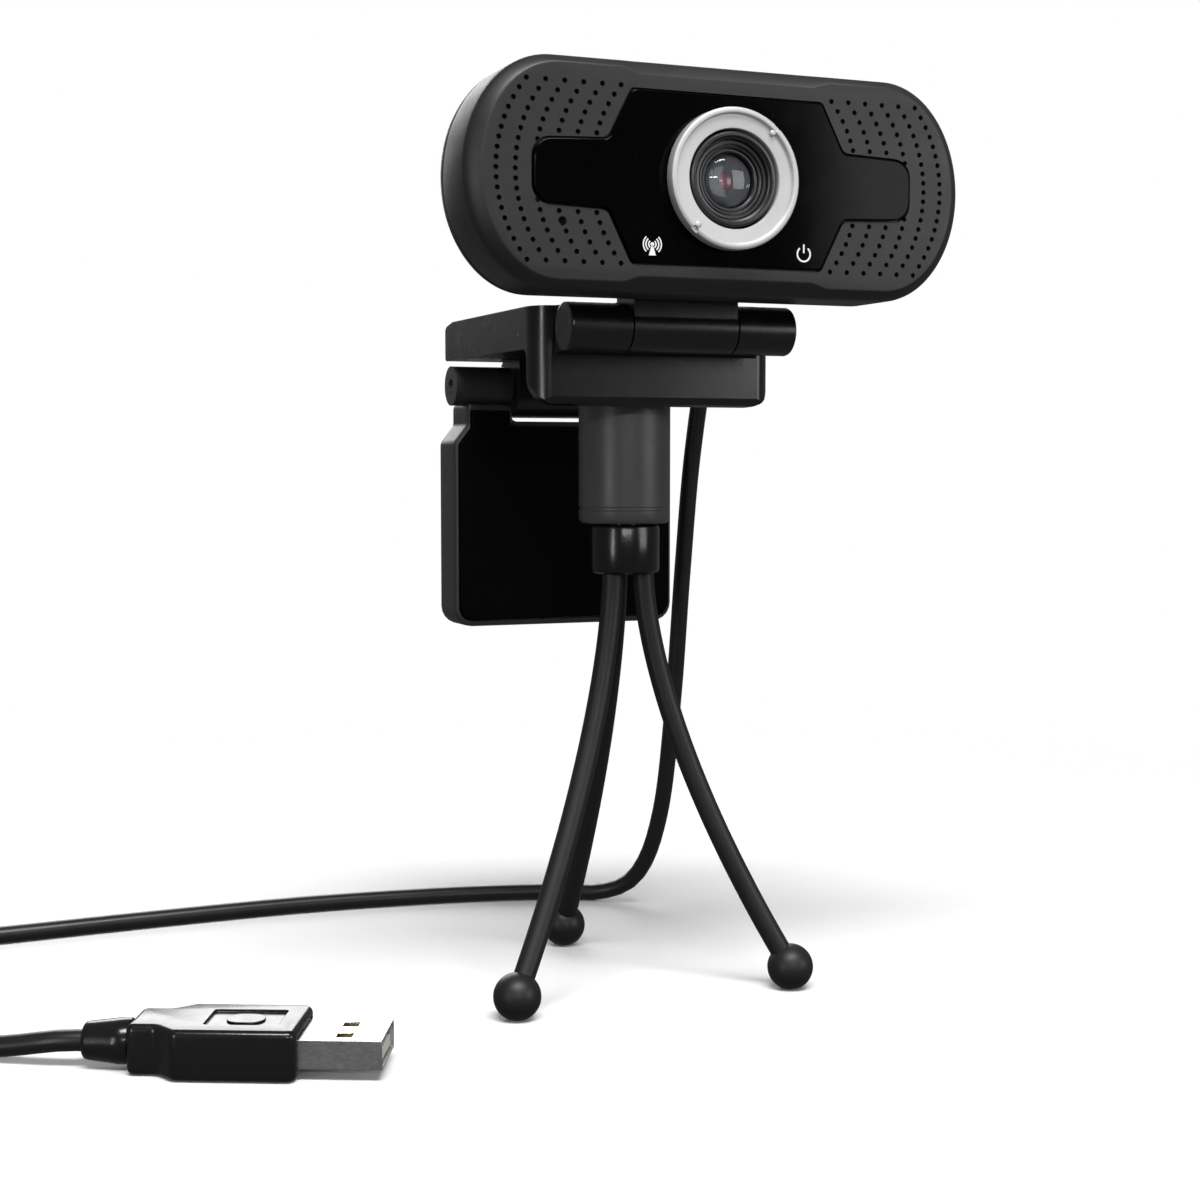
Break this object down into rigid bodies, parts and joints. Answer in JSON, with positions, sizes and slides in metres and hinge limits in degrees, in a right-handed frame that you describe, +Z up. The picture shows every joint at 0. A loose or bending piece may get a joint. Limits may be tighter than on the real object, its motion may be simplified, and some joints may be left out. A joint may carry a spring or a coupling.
{
  "type": "webcam on tripod",
  "caption": "Wide webcam head tilting on a monitor clip with a swinging rear flap, screwed to a mini tripod with bendable rubber legs and ball feet; coiled lead with plug.",
  "frame": {"origin": "on the table, midway between the focus ring's front face and the back of the hanging flap, and midway between the head's two ends", "axes": "+Z up; -Y is the way the lens looks; +X is to the right as seen by someone looking at the lens along +Y"},
  "size_m": [0.2025, 0.1217, 0.1558],
  "materials": {
    "shell_black": "fine matte texture",
    "clip_black": "satin moulded",
    "panel_gloss": "polished",
    "icon_white": "translucent white",
    "ring_silver": "turned, satin anodised",
    "lens_black": "blackened",
    "lens_glass": "coated lens",
    "ir_glass": "infrared cut coating",
    "steel": "plated",
    "brass": "machined",
    "pad_rubber": "soft matte pad",
    "leg_rubber": "matte",
    "tripod_grey": "satin moulded",
    "board_green": "solder mask",
    "chip_black": "moulded package",
    "connector_white": "natural nylon",
    "mic_metal": "drawn can",
    "cord_black": "soft glossy sheath",
    "plug_black": "moulded",
    "gold": "gold flash plated"
  },
  "bodies": {
    "clip": {"clip_body": "clip_black", "clip_cover": "clip_black", "cover_screw_1": "steel", "cover_screw_2": "steel", "thread_insert": "brass", "lip_pad": "pad_rubber", "tilt_pin": "steel", "flap_pin": "steel", "cord_flex": "cord_black", "cord_lead": "cord_black", "cord_coil": "cord_black", "cord_tail": "cord_black", "plug_boot": "plug_black", "plug_body": "plug_black", "plug_shell": "steel", "plug_tongue": "connector_white", "plug_contact_1": "gold", "plug_contact_2": "gold", "plug_contact_3": "gold", "plug_contact_4": "gold"},
    "head": {"head_front_bezel": "shell_black", "head_rear_shell": "shell_black", "face_panel": "panel_gloss", "icon_light_left": "icon_white", "icon_light_right": "icon_white", "lens_mount": "lens_black", "image_sensor": "chip_black", "main_board": "board_green", "video_chip": "chip_black", "board_connector": "connector_white", "microphone": "mic_metal", "head_screw_1": "steel", "head_screw_2": "steel", "head_screw_3": "steel", "head_screw_4": "steel", "neck": "clip_black", "cord_gland": "cord_black"},
    "focus_ring": {"focus_ring": "ring_silver", "lens_barrel": "lens_black", "lens_front_glass": "lens_glass", "lens_rear_glass": "lens_glass", "ir_filter": "ir_glass"},
    "flap": {"flap_frame": "clip_black", "flap_pad": "pad_rubber"},
    "tripod": {"tripod_screw": "steel", "platform_pad": "pad_rubber", "tripod_collar": "tripod_grey", "tripod_stem": "plug_black"},
    "leg_left": {"leg_wire_1": "steel", "leg_1": "leg_rubber", "foot_1": "leg_rubber"},
    "leg_right": {"leg_wire_2": "steel", "leg_2": "leg_rubber", "foot_2": "leg_rubber"},
    "leg_rear": {"leg_wire_3": "steel", "leg_3": "leg_rubber", "foot_3": "leg_rubber"}
  },
  "joints": [
    {"name": "head_tilt", "type": "hinge", "parent": "clip", "child": "head", "pos_m": [0, -0.0195, 0.1161], "axis": [1, 0, 0], "range_deg": [-15, 45], "deforming": ["cord_flex"]},
    {"name": "focus_turn", "type": "hinge", "parent": "head", "child": "focus_ring", "pos_m": [0, -0.0405, 0.138], "axis": [0, -1, 0], "range_deg": [-80, 80]},
    {"name": "flap_hinge", "type": "hinge", "parent": "clip", "child": "flap", "pos_m": [0, 0.0348, 0.1083], "axis": [1, 0, 0], "range_deg": [-25, 90]},
    {"name": "tripod_pan", "type": "hinge", "parent": "clip", "child": "tripod", "pos_m": [0, 0.003, 0.113], "axis": [0, 0, 1], "continuous": true},
    {"name": "leg_left_bend", "type": "hinge", "parent": "tripod", "child": "leg_left", "pos_m": [-0.00294, 0.0013, 0.0743], "axis": [-0.5, 0.866, 0], "range_deg": [-8, 12]},
    {"name": "leg_right_bend", "type": "hinge", "parent": "tripod", "child": "leg_right", "pos_m": [0.00294, 0.0013, 0.0743], "axis": [-0.5, -0.866, 0], "range_deg": [-8, 12]},
    {"name": "leg_rear_bend", "type": "hinge", "parent": "tripod", "child": "leg_rear", "pos_m": [0, 0.0064, 0.0743], "axis": [1, 0, 0], "range_deg": [-8, 12]}
  ]
}
